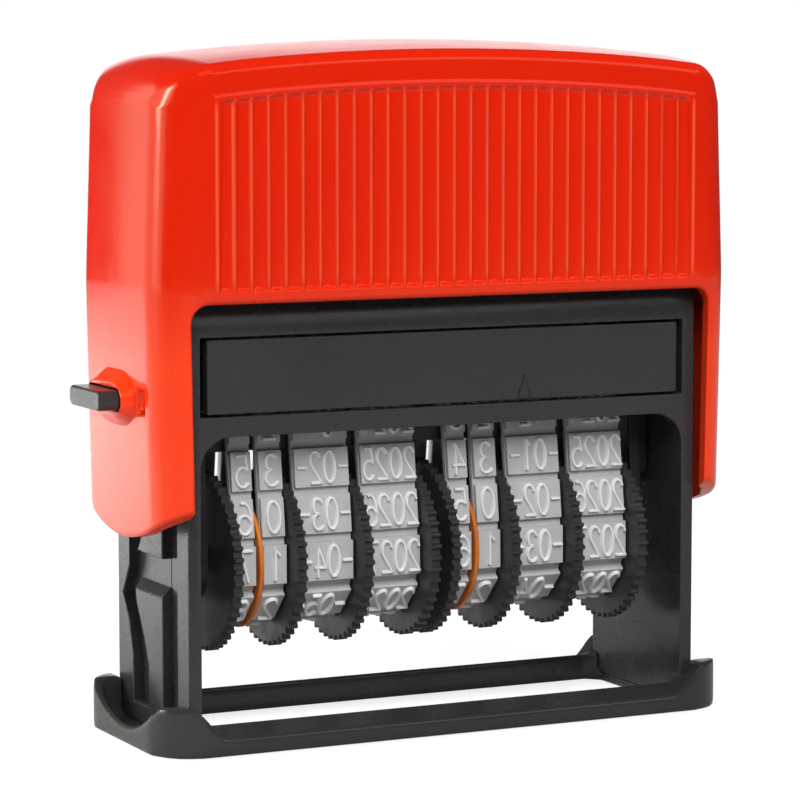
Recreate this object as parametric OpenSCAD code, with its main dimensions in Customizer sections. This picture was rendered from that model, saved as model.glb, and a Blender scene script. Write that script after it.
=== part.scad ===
// Self-inking date stamp: a press-down cap flips a carriage of printing bands
// from the ink pad above it to the paper below it.
// Millimetres. +Z is up, +X runs along the line of print, -Y is the front.
// The origin is at the middle of the foot's underside.

/* [Date wheels] */
// Radius of a thumbwheel over its teeth
wheel_r = 11.35; // [9.5:0.05:11.4]
// Number of teeth on a thumbwheel
wheel_teeth = 48; // [24:2:60]
// Depth of a thumbwheel tooth
tooth_h = 0.55; // [0.4:0.05:1]
// Thickness of a thumbwheel's toothed disc
disc_t = 1.25; // [1:0.05:1.6]
// Radius of the drum that carries a band
drum_r = 6.3; // [6:0.05:7.5]
// Radius of the shaft that the wheels turn on
shaft_r = 1.5; // [1:0.05:2]
// Distance from the flip axis down to the wheel shaft
wheel_drop = 9.75; // [9:0.05:11]
// Thickness of the separator between the two day bands
separator_t = 0.55; // [0.4:0.05:0.8]
// Radius of that separator
separator_r = 8.7; // [8.5:0.05:10]

/* [Bands] */
// Width of the band with the units of the day
day_units_w = 2.9; // [2.5:0.1:3.5]
// Width of the band with the tens of the day
day_tens_w = 3.3; // [2.5:0.1:4]
// Width of the month band
month_w = 7.6; // [6.5:0.1:9]
// Width of the year band
year_w = 7.8; // [6.5:0.1:9]
// Thickness of a band between its print blocks
band_t = 0.9; // [0.7:0.05:1.2]
// Height of a print block over the band
block_h = 0.6; // [0.4:0.05:0.8]
// Length of a print block along the band
block_l = 4.9; // [4:0.1:5]
// Number of print blocks on a band
block_count = 12; // [11:1:13]
// How much a print block stays inside the edges of its band
block_inset = 0.08; // [0.04:0.01:0.2]
// Distance between the two groups of bands
group_gap = 1.65; // [1.2:0.05:3]

/* [Carriage] */
// Travel of the cap from rest to the paper
stroke = 22; // [20:0.5:23]
// Thickness of a carriage side plate
side_t = 1.5; // [1.2:0.1:2]
// Radius of a carriage pivot pin
pivot_r = 1.6; // [1.2:0.05:2]
// Radius of a flip cam pin
cam_pin_r = 1.2; // [0.9:0.05:1.4]
// Distance from the flip axis to a cam pin
cam_pin_at = 5.5; // [5.4:0.1:6]
// Width of the plate round a cam pin
pin_ear = 1; // [0.8:0.1:1.2]
// Radius of a side plate round the wheel shaft
plate_r = 5.2; // [4:0.1:6]
// Radius of a side plate's corners at the platen
plate_k = 1; // [0.6:0.1:1.2]
// Half width of the platen bar between its corner centres
platen_half = 3.2; // [2.8:0.1:3.6]
// Corner radius of the platen bar
platen_r = 1.1; // [0.8:0.05:1.4]
// Height of the platen bar below its corner centres
platen_web = 2.8; // [2:0.1:3.5]

/* [Frame] */
// Depth of the frame, front to back
frame_d = 23.4; // [22.5:0.1:25]
// Thickness of the frame's walls
frame_wall = 1.75; // [1.5:0.05:2.2]
// Height of the underside of the crossbar over the wheel window
crossbar_z = 38.9; // [38:0.1:40]
// Height of the crossbar
crossbar_h = 2.5; // [2:0.1:3]
// Height of the ink cartridge's window
pad_window_h = 9.7; // [9:0.1:11]
// Height of the frame over the cartridge's window
frame_head_h = 4.9; // [4.5:0.1:6]
// Height of the bevel round the top of the frame
head_bevel = 2.9; // [2:0.1:3.4]
// Corner radius at the top of the wheel window
window_r = 4; // [2:0.1:5]
// Width of the straight guide groove in a side wall
groove_w = 4.9; // [4:0.1:5.2]
// Distance of that groove in front of the frame's middle
groove_y = 3.1; // [2.8:0.1:3.4]
// Width of the curved cam slot in a side wall
cam_slot_w = 5; // [4.4:0.1:5.4]
// Skin of the side wall that is left behind the groove and the cam slot
slot_skin = 0.45; // [0.4:0.05:0.7]

/* [Foot] */
// Width of the foot's end past the frame
foot_end_w = 4.4; // [4:0.1:5.5]
// Width of the foot's front and back rails past the frame
foot_side_w = 2.7; // [2.4:0.1:4]
// Corner radius of the foot
foot_corner_r = 6; // [4.5:0.1:7]
// Height of the foot's ends
foot_end_h = 6.2; // [6:0.1:7]
// Height of a rail at its inner edge
rail_in_h = 3.7; // [3:0.1:4]
// Height of a rail at its outer edge
rail_out_h = 2.1; // [1.6:0.1:2.6]
// Width of a rail
rail_w = 3.4; // [3:0.1:4]
// Lowest height of the dip in the foot's end
saddle_z = 2.2; // [1.8:0.1:2.6]
// Radius of that dip
saddle_r = 17; // [16:0.5:22]
// Thickness of the rim round the foot's end pocket
rim_t = 1.2; // [1:0.1:1.6]
// Thickness of the foot's floor under the frame
floor_t = 1.2; // [1:0.1:1.6]
// Length of the ramp from a rail up to the foot's end
ramp_l = 5.5; // [4:0.1:7]
// How far that ramp starts inside the frame's wall
ramp_in = 2.85; // [2:0.05:4]
// Size of the chamfers in the corners of the foot's opening
opening_cut = 1.4; // [1:0.1:2]
// How much wider the foot's end pocket is than the frame's inside, each side
pocket_over = 0.5; // [0.2:0.1:0.8]

/* [Cap] */
// Wall of the cap
cap_wall = 1.8; // [1.6:0.05:2.2]
// Space between the frame and the cap's end
cap_end_space = 3.1; // [2.9:0.1:4]
// Space between the frame and the cap's front
cap_front_space = 1.7; // [1.4:0.1:2.5]
// Height of the cap's front edge over the cartridge's window
skirt_over = 4.2; // [3.5:0.1:5]
// Radius of the rounded lower edge of the cap's ends
tongue_r = 26; // [24:0.5:34]
// Corner radius of the cap seen from above
cap_corner_r = 6; // [4:0.1:7]
// Radius of the cap's shoulders seen from the front
shoulder_r = 5.5; // [4.5:0.1:6.5]
// Radius along the cap's front top edge
brow_r = 3; // [2.2:0.1:3.6]
// Radius of the cap's crowned top
crown_r = 323; // [250:1:500]
// How much narrower the cap's end is at its lower edge
tongue_taper = 0.6; // [0:0.1:0.8]
// How much narrower the cap's end is at its shoulder
shoulder_taper = 0.8; // [0:0.1:1.2]
// Space between the cap's opening and the frame's side
opening_space = 1; // [0.8:0.1:1.6]
// Corner radius of the cap's opening
opening_r = 2.3; // [1.5:0.1:3]
// Number of grip ribs
rib_count = 30; // [20:1:30]
// Distance between grip ribs
rib_pitch = 2.28; // [2:0.02:2.3]
// Radius of a grip rib
rib_r = 0.5; // [0.45:0.01:0.7]
// Depth of the ribbed panel
panel_depth = 0.5; // [0.5:0.05:0.8]
// Margin of the ribbed panel under the top of the cap
panel_top = 4.7; // [4.2:0.1:6]
// Margin of the ribbed panel over the cap's front edge
panel_foot = 1.3; // [1:0.1:2]

/* [Yoke and springs] */
// Thickness of a yoke arm
arm_t = 1.5; // [1.2:0.1:2]
// Width of a yoke arm
arm_w = 6; // [5:0.1:6.4]
// Radius of the eye at the lower end of a yoke arm
arm_eye_r = 3.25; // [3:0.05:3.4]
// Thickness of the yoke's bridge
bridge_t = 1.6; // [1.4:0.1:2]
// Width of the yoke's bridge
bridge_w = 10; // [8:0.5:14]
// Room left over the frame when the cap is down
roof_room = 3.7; // [3.5:0.1:5]
// Height of the bosses between the bridge and the cap's roof
boss_h = 2.1; // [1.8:0.1:3]
// Radius of such a boss
boss_r = 3; // [2.4:0.1:4]
// Radius of the stake that holds the bridge on a boss
stake_r = 1.5; // [1.2:0.1:2]
// How far that stake stands out under the bridge
stake_out = 0.5; // [0.3:0.1:1]
// Distance of a boss from the middle
boss_x = 10; // [6:0.5:13]
// Distance of a return spring from the middle
spring_x = 20; // [18:0.5:24]
// Mean radius of a return spring
spring_r = 4; // [3.5:0.1:4.5]
// Wire radius of a return spring
wire_r = 0.45; // [0.35:0.05:0.6]
// Turns of a return spring
spring_turns = 7; // [5:1:8]
// Depth of a spring's well in the top of the frame
well_depth = 4.4; // [3.5:0.1:4.6]
// Wall of a spring's well
well_wall = 1; // [0.8:0.1:1.4]

/* [Ink cartridge] */
// Wall of the ink tray
tray_wall = 1.2; // [1:0.1:1.6]
// Thickness of the tray's front face
face_t = 1.5; // [1.2:0.1:2]
// Thickness of the ink pad
pad_t = 3.6; // [2.5:0.1:5]
// Margin of the tray's face inside its window
face_margin = 0.85; // [0.5:0.05:1.2]

/* [Lock button] */
// Height of the lock button on the cap
lock_z = 43.3; // [42.5:0.1:45]
// Width of the lock button
lock_w = 10.2; // [8:0.05:10.4]
// Height of the lock button's end
lock_h = 2.5; // [2:0.1:3]
// How far the lock button stands out
lock_out = 4; // [3:0.1:5]
// Travel of the lock button
lock_travel = 1.4; // [1:0.1:1.5]
// How far the lock button's flange reaches past its bar, each side
lock_flange = 1.3; // [1:0.1:2]
// Room over and under the lock button in its notch
lock_room = 0.55; // [0.4:0.05:0.8]
// Space between the frame and the cap's seat for the lock button
lock_space = 1.8; // [1.6:0.1:2]
// Corner radius of the lock button's bar
lock_r = 0.9; // [0.5:0.05:0.95]
// How far the tapered collar round the lock button stands out
collar_out = 1.7; // [1:0.1:2]
// Height of that collar's foot
collar_h = 7.2; // [6:0.1:8]
// Length of that collar's foot
collar_l = 12.4; // [12.2:0.1:13]
// Corner radius of that collar's foot
collar_r = 2.8; // [2:0.1:2.9]
// Width of the collar's rim round the lock button
collar_rim = 0.5; // [0.3:0.05:0.6]
// Width of the shallow notch beside the collar
notch_w = 2.4; // [1.5:0.1:3]
// Height of that notch
notch_h = 3.2; // [2:0.1:4]
// Depth of that notch
notch_t = 0.6; // [0.3:0.1:0.9]
// Wall between the collar and that notch
notch_wall = 0.4; // [0.2:0.1:0.8]

/* [Clearances] */
// Gap between pieces that slide past each other
slide_gap = 0.3; // [0.2:0.05:0.5]
// Radial gap of a turning pin in its bore
run_gap = 0.05; // [0.02:0.01:0.1]
// Side gap between wheels, bands and separators
side_gap = 0.15; // [0.1:0.01:0.3]
// Gap between the wheels and the carriage's side plates
end_gap = 1; // [0.5:0.1:1.5]
// Gap between a band and its drum
band_gap = 0.2; // [0.1:0.05:0.3]
// Gap of pieces that are pushed together for good
seat_gap = 0.02; // [0.01:0.01:0.05]

/* [Hidden] */
$fn = 64;
// How far a cutting shape runs past what it cuts
over = 1;
GROUPS = ["left", "right"];
BANDS = ["day_units", "day_tens", "month", "year"];
widths = [day_units_w, day_tens_w, month_w, year_w];

// Places along X: one group of wheels, then the stack out to the frame's wall
group_l = 4 * disc_t + day_units_w + day_tens_w + month_w + year_w + separator_t + 8 * side_gap;
stack_half = group_l + group_gap / 2;
side_x = stack_half + end_gap;
arm_x = side_x + side_t + slide_gap;
wall_x = arm_x + arm_t + slide_gap + run_gap;
frame_x = wall_x + frame_wall;
foot_x = frame_x + foot_end_w;
cap_x = frame_x + cap_end_space + cap_wall;
opening_x = frame_x + opening_space;
tray_x = arm_x - slide_gap;
group_x = [-stack_half, group_gap / 2];
units_x = disc_t + side_gap;
separator_x = units_x + day_units_w + side_gap;
tens_x = separator_x + separator_t + side_gap;
month_x = tens_x + day_tens_w + disc_t + 2 * side_gap;
year_x = month_x + month_w + disc_t + 2 * side_gap;
band_x = [units_x, tens_x, month_x, year_x];

// Places along Y
frame_y = frame_d / 2;
wall_y = frame_y - frame_wall;
foot_y = frame_y + foot_side_w;
rail_y = foot_y - rail_w;
cap_y = frame_y + cap_front_space + cap_wall;

// Heights
crossbar_top = crossbar_z + crossbar_h;
window_top = crossbar_top + pad_window_h;
frame_top = window_top + frame_head_h;
tray_z = crossbar_top + slide_gap;
pad_z = tray_z + slide_gap;
print_z = pad_z - slide_gap;
print_at = (print_z - stroke) / 2;
flip_z = print_z - print_at;
shaft_z = flip_z - wheel_drop;
skirt_z = window_top + skirt_over;
bridge_z = frame_top + stroke + roof_room;
cap_roof = bridge_z + bridge_t + boss_h;
cap_top = cap_roof + cap_wall;
tongue_room = 1.7;
tongue_z = saddle_z + stroke + tongue_room;
spring_seat = frame_top - well_depth;
rib_top = cap_top - panel_top;
rib_foot = skirt_z + panel_foot;
panel_half = (rib_count / 2 + 0.1) * rib_pitch;

// The loop of a band: round its drum below and over the platen's corners above
corner_z = print_z - block_h - band_t - platen_r - band_gap / 2;
loop_r = drum_r + band_gap;
loop_k = platen_r + band_gap / 2;
// Straight steps in which a print block bends with its band
block_steps = 6;

function arc(cx, cy, r, from, to, steps) =
    [for (i = [0:steps]) let (a = from + (to - from) * i / steps) [cx + r * cos(a), cy + r * sin(a)]];
function crown(x, top, r) = top - r + sqrt(r * r - x * x);
function ease(t) = (1 - cos(180 * t)) / 2;
function flipped(points) = [for (i = [len(points) - 1:-1:0]) [-points[i][0], points[i][1]]];
// The right half of an outline, from its foot to its top, and then its mirror image
function with_mirror(half) = concat(half, flipped(half));

// Angle of the outward normal on a loop's straight stretch
function lean(r, k) =
    let (far = norm([platen_half, corner_z - shaft_z]))
    atan2(corner_z - shaft_z, platen_half) - acos((r - k) / far);
// Outline of a loop of radius r round the drum and k round the platen's corners
function loop_outline(r, k) =
    let (a = lean(r, k))
    concat(arc(0, shaft_z, r, 180 - a, 360 + a, 28),
           arc(platen_half, corner_z, k, a, 90, 4),
           arc(-platen_half, corner_z, k, 90, 180 - a, 4));
// Half the length of a loop, from the middle of its top to the middle of its bottom
function loop_parts(r, k) =
    let (a = lean(r, k), far = norm([platen_half, corner_z - shaft_z]))
    [platen_half, k * (90 - a) * PI / 180, sqrt(far * far - (r - k) * (r - k)), r * (90 + a) * PI / 180];
// Place and normal angle at a length s along the front half of a loop
function half_loop_at(s, r, k) =
    let (p = loop_parts(r, k), a = lean(r, k), s1 = s - p[0], s2 = s1 - p[1], s3 = s2 - p[2])
    s1 < 0 ? [s, corner_z + k, 90]
    : s2 < 0 ? let (n = 90 - s1 / k * 180 / PI) [platen_half + k * cos(n), corner_z + k * sin(n), n]
    : s3 < 0 ? [platen_half + k * cos(a) + s2 * sin(a), corner_z + k * sin(a) - s2 * cos(a), a]
    : let (n = a - s3 / r * 180 / PI) [r * cos(n), shaft_z + r * sin(n), n];
function loop_at(s, r, k) =
    let (p = loop_parts(r, k), half = p[0] + p[1] + p[2] + p[3])
    s <= half ? half_loop_at(s, r, k)
    : let (q = half_loop_at(2 * half - s, r, k)) [-q[0], q[1], 180 - q[2]];
function loop_length(r, k) = let (p = loop_parts(r, k)) 2 * (p[0] + p[1] + p[2] + p[3]);
// A line along a loop, at height h over it and block_l long, with its middle at a length s
function line_over(s, h, r, k) = [for (i = [0:block_steps])
    let (at = loop_at(s + block_l * (i / block_steps - 0.5), r, k))
    [at[0] + h * cos(at[2]), at[1] + h * sin(at[2])]];
// Outline of a print block, which bends with its band and is rooted in it
function block_outline(s, r, k) = let (root = line_over(s, band_gap - band_t, r, k))
    concat(line_over(s, block_h, r, k), [for (i = [block_steps:-1:0]) root[i]]);

// A flat outline in Y and Z, drawn out along X
module along_x(from, to) {
    translate([from, 0, 0]) rotate([90, 0, 90]) linear_extrude(to - from) children();
}
// A flat outline in X and Z, drawn out along Y
module along_y(from, to) {
    translate([0, to, 0]) rotate([90, 0, 0]) linear_extrude(to - from) children();
}
module box(low, high) {
    translate(low) cube(high - low);
}
module bar_x(from, to, r, y, z) {
    translate([from, y, z]) rotate([0, 90, 0]) cylinder(r = r, h = to - from);
}
module round_rect(half_x, half_y, r) {
    square([2 * half_x - 2 * r, 2 * half_y], center = true);
    square([2 * half_x, 2 * half_y - 2 * r], center = true);
    for (x = [-1, 1], y = [-1, 1]) translate([x * (half_x - r), y * (half_y - r)]) circle(r);
}
module both_ends() {
    children();
    mirror([1, 0, 0]) children();
}

// Foot: two rails, and two raised ends with a dip and a pocket for the cap's ends
module foot_height() {
    rise = foot_end_h - rail_out_h;
    ramp = [for (i = [10:-1:0]) [wall_x - ramp_in + ramp_l * i / 10, rail_out_h + rise * ease(i / 10)]];
    polygon(with_mirror(concat([[foot_x + over, 0], [foot_x + over, foot_end_h]], ramp)));
}
module foot_rail() {
    polygon([[rail_y, 0], [foot_y, 0], [foot_y, rail_out_h], [rail_y, rail_in_h]]);
}
module foot_opening() {
    x = wall_x - opening_cut;
    y = rail_y - opening_cut;
    polygon(with_mirror([[x, -rail_y], [wall_x, -y], [wall_x, y], [x, rail_y]]));
}
module foot() color([0.1, 0.1, 0.11]) {
    pocket_y = wall_y + pocket_over;
    socket_y = frame_y + seat_gap;
    difference() {
        intersection() {
            linear_extrude(foot_end_h + over) round_rect(foot_x, foot_y, foot_corner_r);
            union() {
                along_y(-foot_y - over, foot_y + over) foot_height();
                for (side = [0, 1]) mirror([0, side, 0]) along_x(-foot_x, foot_x) foot_rail();
            }
        }
        translate([0, 0, -over]) linear_extrude(foot_end_h + 2 * over) foot_opening();
        bar_x(-foot_x - over, foot_x + over, saddle_r, 0, saddle_z + saddle_r);
        both_ends() {
            box([wall_x - seat_gap, -socket_y, floor_t],
                [frame_x + seat_gap, socket_y, foot_end_h + over]);
            intersection() {
                translate([0, 0, floor_t]) linear_extrude(foot_end_h)
                    round_rect(foot_x - rim_t, foot_y - rim_t, foot_corner_r - rim_t);
                box([frame_x, -pocket_y, 0], [foot_x, pocket_y, foot_end_h + over]);
            }
        }
    }
}

// Frame: a tall box with a wheel window and a cartridge window in its front and back
slot_foot = rail_in_h;
slot_top = flip_z + 2 * cam_pin_r + over;
lock_low = lock_z - stroke;
notch_floor = frame_x + slide_gap - lock_travel - side_gap;
notch_half = lock_w / 2 + lock_flange + lock_room;
// Edges of the cam slot from its foot up, as places in Y and over the lower lock notch
cam_front = [[1.55, -12.4], [3.15, -8.8], [5.55, -4.8], [6.25, -1.6], [5.15, -0.7], [4.8, 1.3], [5.3, 1.8],
             [2.9, 4.9]];
cam_back = [[1.8, -11.5], [3.15, -7.4], [5.25, -4.2], [2.9, -0.4]];
module groove_outline() {
    translate([-groove_y - groove_w, slot_foot]) square([groove_w, slot_top - slot_foot]);
}
// The cam slot: straight below, swung to the back at half height, straight above
module cam_slot_outline() {
    front = [for (p = cam_front) [p[0], lock_low + p[1]]];
    back = [for (i = [len(cam_back) - 1:-1:0]) [cam_back[i][0] + cam_slot_w, lock_low + cam_back[i][1]]];
    ends = [front[0][0], front[len(front) - 1][0], back[0][0], back[len(back) - 1][0]];
    polygon(concat([[ends[0], slot_foot]], front, [[ends[1], slot_top], [ends[2], slot_top]], back,
                   [[ends[3], slot_foot]]));
}
module wheel_window() {
    arch = arc(wall_x - window_r, crossbar_z - window_r, window_r, 0, 90, 8);
    polygon(with_mirror(concat([[wall_x, 0]], arch)));
}
module frame_section() {
    head_y = frame_y - head_bevel / 2;
    polygon(with_mirror([[frame_y, floor_t], [frame_y, frame_top - head_bevel], [head_y, frame_top]]));
}
// A recess in the wall's outer face for the lock button, with a slope under it
module lock_notch(z, slope) {
    low = z - lock_h / 2 - lock_room;
    high = z + lock_h / 2 + lock_room;
    out = frame_x + over;
    lip = low - slope * (out - notch_floor);
    polygon([[out, high], [notch_floor, high], [notch_floor, low], [out, lip]]);
}
module frame() color([0.12, 0.12, 0.13]) {
    well_r = spring_r + wire_r + slide_gap;
    slot_y = arm_w / 2 + slide_gap;
    difference() {
        union() {
            difference() {
                along_x(-frame_x, frame_x) frame_section();
                box([-wall_x, -wall_y, 0], [wall_x, wall_y, frame_top - frame_wall]);
            }
            for (x = [-spring_x, spring_x]) translate([x, 0, window_top])
                cylinder(r = well_r + well_wall, h = frame_head_h);
        }
        for (x = [-spring_x, spring_x]) translate([x, 0, spring_seat])
            cylinder(r = well_r, h = well_depth + over);
        along_y(-frame_y - over, frame_y + over) wheel_window();
        for (side = [0, 1]) mirror([0, side, 0])
            box([-wall_x, -frame_y - over, crossbar_top], [wall_x, over - wall_y, window_top]);
        both_ends() {
            along_x(wall_x + slot_skin, frame_x + over) groove_outline();
            along_x(wall_x + slot_skin, frame_x + over) cam_slot_outline();
            box([arm_x - slide_gap, -slot_y, window_top], [wall_x, slot_y, frame_top + over]);
            along_y(-notch_half, notch_half) lock_notch(lock_z, 0);
            along_y(-notch_half, notch_half) lock_notch(lock_low, 1);
        }
    }
}

// Cap: a crowned shell whose ends reach down over the frame's sides
function cap_outline(in) =
    let (r = shoulder_r - in, side = cap_x - shoulder_taper - in, sx = side - r,
         sz = crown(sx, cap_top - in, crown_r - in) - r, turn = 90 - asin(sx / (crown_r - in)),
         half = concat([[cap_x - tongue_taper - in, 0], [cap_x - tongue_taper - in, tongue_z],
                        [cap_x - in, skirt_z]], arc(sx, sz, r, 0, turn, 8),
                       [for (i = [5:-1:1]) [sx * i / 6, crown(sx * i / 6, cap_top - in, crown_r - in)]]))
    concat(half, [[0, cap_top - in]], flipped(half));
function brow_outline(in) =
    let (r = brow_r - in, y = cap_y - in)
    with_mirror(concat([[y, 0]], arc(y - r, cap_top - in - r, r, 0, 90, 6)));
module cap_body(in) {
    intersection() {
        along_y(-cap_y, cap_y) polygon(cap_outline(in));
        along_x(-cap_x, cap_x) polygon(brow_outline(in));
        linear_extrude(cap_top) round_rect(cap_x - in, cap_y - in, cap_corner_r - in);
    }
}
module cap_opening() {
    corner = arc(opening_x - opening_r, skirt_z - opening_r, opening_r, 0, 90, 6);
    polygon(with_mirror(concat([[opening_x, -over]], corner)));
}
// The ribbed panel's outline, with its upper edge along the crown
module panel_outline() {
    top = [for (i = [6:-1:-6]) [panel_half * i / 6, crown(panel_half * i / 6, rib_top + rib_r, crown_r)]];
    polygon(concat([[-panel_half, rib_foot], [panel_half, rib_foot]], top));
}
module ribs() {
    for (i = [0:rib_count - 1])
        let (x = (i - (rib_count - 1) / 2) * rib_pitch)
        translate([x, panel_depth - cap_y, rib_foot])
        cylinder(r = rib_r, h = crown(x, rib_top, crown_r) - rib_foot);
}
lock_x = cap_x - tongue_taper * (skirt_z - lock_z) / (skirt_z - tongue_z);
// Collar: a low tapered boss that the lock button passes through
module collar() {
    top_y = lock_w / 2 + side_gap + collar_rim;
    top_h = lock_h / 2 + side_gap + collar_rim;
    foot_y = collar_l / 2 + over * (collar_l / 2 - top_y) / collar_out;
    foot_h = collar_h / 2 + over * (collar_h / 2 - top_h) / collar_out;
    top = -lock_x - collar_out;
    foot = over - lock_x;
    intersection() {
        along_y(-cap_y, cap_y) translate([0, lock_z])
            polygon([[foot, -foot_h], [foot, foot_h], [top, top_h], [top, -top_h]]);
        linear_extrude(cap_top) polygon([[foot, -foot_y], [foot, foot_y], [top, top_y], [top, -top_y]]);
        along_x(top, foot) translate([0, lock_z]) round_rect(collar_l / 2, collar_h / 2, collar_r);
    }
}
module collar_notch() {
    y = -collar_l / 2 - notch_wall;
    box([-lock_x - over, y - notch_w, lock_z - notch_h / 2], [notch_t - lock_x, y, lock_z + notch_h / 2]);
}
lock_seat = frame_x + lock_space;
module cap_shell() color([0.9, 0.16, 0.06]) {
    seat_y = collar_l / 2 + lock_space;
    seat_h = collar_h / 2 + lock_space;
    difference() {
        union() {
            difference() {
                cap_body(0);
                cap_body(cap_wall);
                for (side = [0, 1]) mirror([0, side, 0])
                    along_y(-cap_y - over, panel_depth - cap_y) panel_outline();
            }
            for (side = [0, 1]) mirror([0, side, 0]) intersection() {
                ribs();
                box([-cap_x, -cap_y, 0], [cap_x, cap_wall - cap_y - slide_gap, cap_top]);
            }
            for (x = [-boss_x, boss_x]) translate([x, 0, bridge_z + bridge_t]) {
                cylinder(r = boss_r, h = boss_h + cap_wall / 2);
                translate([0, 0, -bridge_t - stake_out]) cylinder(r = stake_r, h = bridge_t + stake_out);
            }
            box([cap_wall / 2 - lock_x, -seat_y, lock_z - seat_h], [-lock_seat, seat_y, lock_z + seat_h]);
            collar();
        }
        along_y(-cap_y - over, cap_y + over) cap_opening();
        difference() {
            box([-cap_x - over, -cap_y - over, 0], [cap_x + over, cap_y + over, skirt_z]);
            bar_x(-cap_x - 2 * over, cap_x + 2 * over, tongue_r, 0, tongue_z + tongue_r);
        }
        collar_notch();
        along_x(-cap_x - collar_out - over, -frame_x) lock_outline(side_gap);
    }
}

// Lock button: a bar through the cap's left end, with a flange that keeps it in
module lock_outline(gap) {
    translate([0, lock_z]) round_rect(lock_w / 2 + gap, lock_h / 2 + gap, lock_r + gap);
}
module lock_button() color([0.13, 0.13, 0.14]) {
    inner = frame_x + slide_gap;
    low = lock_z - lock_h / 2;
    high = lock_z + lock_h / 2;
    flange_y = lock_w / 2 + lock_flange;
    along_x(-cap_x - lock_out, -inner) lock_outline(0);
    box([side_gap - lock_seat, -flange_y, low], [-inner, flange_y, high]);
}

// Yoke: a bridge under the cap's roof with an arm down each side to the flip axis
module yoke_arm() {
    along_x(arm_x, arm_x + arm_t) difference() {
        union() {
            translate([-arm_w / 2, flip_z]) square([arm_w, bridge_z + bridge_t - flip_z]);
            translate([0, flip_z]) circle(arm_eye_r);
        }
        translate([0, flip_z]) circle(pivot_r + run_gap);
    }
}
module yoke() color([0.16, 0.16, 0.17]) {
    difference() {
        box([-arm_x - arm_t, -bridge_w / 2, bridge_z], [arm_x + arm_t, bridge_w / 2, bridge_z + bridge_t]);
        for (x = [-boss_x, boss_x]) translate([x, 0, bridge_z - over])
            cylinder(r = stake_r + run_gap, h = bridge_t + 2 * over);
    }
    both_ends() yoke_arm();
}

// Return spring: one wire wound up from its well in the frame to the yoke's bridge
spring_low = spring_seat + wire_r + seat_gap;
spring_high = bridge_z - wire_r - seat_gap;
spring_pitch = (spring_high - spring_low) / spring_turns;
rings_per_turn = 8;
wire_sides = 6;
function coil_ring(t) =
    let (out = [cos(360 * t), sin(360 * t), 0],
         rise = spring_pitch / (2 * PI * spring_r),
         up = [rise * out[1], -rise * out[0], 1] / norm([1, rise]))
    [for (j = [0:wire_sides - 1]) let (a = 360 * j / wire_sides)
        spring_r * out + [0, 0, spring_low + spring_pitch * t] + wire_r * (cos(a) * out + sin(a) * up)];
module return_spring(x) color([0.75, 0.75, 0.78]) {
    steps = spring_turns * rings_per_turn;
    walls = [for (i = [0:steps - 1], j = [0:wire_sides - 1])
        let (a = i * wire_sides + j, b = i * wire_sides + (j + 1) % wire_sides)
        each [[a, a + wire_sides, b], [b, a + wire_sides, b + wire_sides]]];
    low_end = [for (j = [1:wire_sides - 2]) [0, j, j + 1]];
    top = steps * wire_sides;
    high_end = [for (j = [1:wire_sides - 2]) [top, top + j + 1, top + j]];
    translate([x, 0, 0]) polyhedron(spring_points, concat(walls, low_end, high_end));
}
spring_points = [for (i = [0:spring_turns * rings_per_turn]) each coil_ring(i / rings_per_turn)];
turn_points = rings_per_turn * wire_sides;
turn_gaps = [for (i = [0:turn_points - 1], j = [turn_points:2 * turn_points - 1])
    norm(spring_points[i] - spring_points[j])];
echo("least gap between spring turns", min(turn_gaps));

// Ink cartridge: a tray that slides out of the front, with its pad facing down
module cartridge_tray() color([0.1, 0.1, 0.1]) {
    top = window_top - slide_gap;
    difference() {
        union() {
            box([-tray_x, face_t - frame_y, tray_z], [tray_x, frame_y - slide_gap, top]);
            box([-wall_x + face_margin, -frame_y, tray_z], [wall_x - face_margin, face_t - frame_y, top]);
        }
        box([-tray_x + tray_wall, face_t + tray_wall - frame_y, tray_z - over],
            [tray_x - tray_wall, frame_y - slide_gap - tray_wall, pad_z + pad_t]);
    }
}
module ink_pad() color([0.07, 0.06, 0.09]) {
    gap = tray_wall + seat_gap;
    box([-tray_x + gap, face_t + gap - frame_y, pad_z],
        [tray_x - gap, frame_y - slide_gap - gap, pad_z + pad_t]);
}

// Carriage side: a plate with a pivot pin and a cam pin on its outer face
module carriage_side() {
    pin_end = arm_x + arm_t - run_gap;
    ear_r = cam_pin_r + pin_ear;
    along_x(side_x, side_x + side_t) difference() {
        union() {
            polygon(loop_outline(plate_r, plate_k));
            translate([cam_pin_at, flip_z]) circle(ear_r);
            translate([0, flip_z - ear_r]) square([cam_pin_at, 2 * ear_r]);
        }
        translate([0, shaft_z]) circle(shaft_r + seat_gap);
    }
    bar_x(side_x + side_t, pin_end, pivot_r, 0, flip_z);
    bar_x(side_x + side_t, pin_end, cam_pin_r, cam_pin_at, flip_z);
}
module carriage_right_side() color([0.15, 0.15, 0.16]) carriage_side();
module carriage_left_side() color([0.15, 0.15, 0.16]) mirror([1, 0, 0]) carriage_side();
module platen_bar() color([0.2, 0.2, 0.21]) {
    edge = platen_half + platen_r;
    corner = arc(platen_half, corner_z, platen_r, 0, 90, 4);
    along_x(-side_x, side_x) polygon(with_mirror(concat([[edge, corner_z - platen_web]], corner)));
}
module wheel_shaft() color([0.72, 0.73, 0.75]) {
    bar_x(-side_x - side_t, side_x + side_t, shaft_r, 0, shaft_z);
}
module separator(x) color([0.85, 0.42, 0.06]) difference() {
    bar_x(x, x + separator_t, separator_r, 0, shaft_z);
    bar_x(x - over, x + separator_t + over, shaft_r + run_gap, 0, shaft_z);
}

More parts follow.
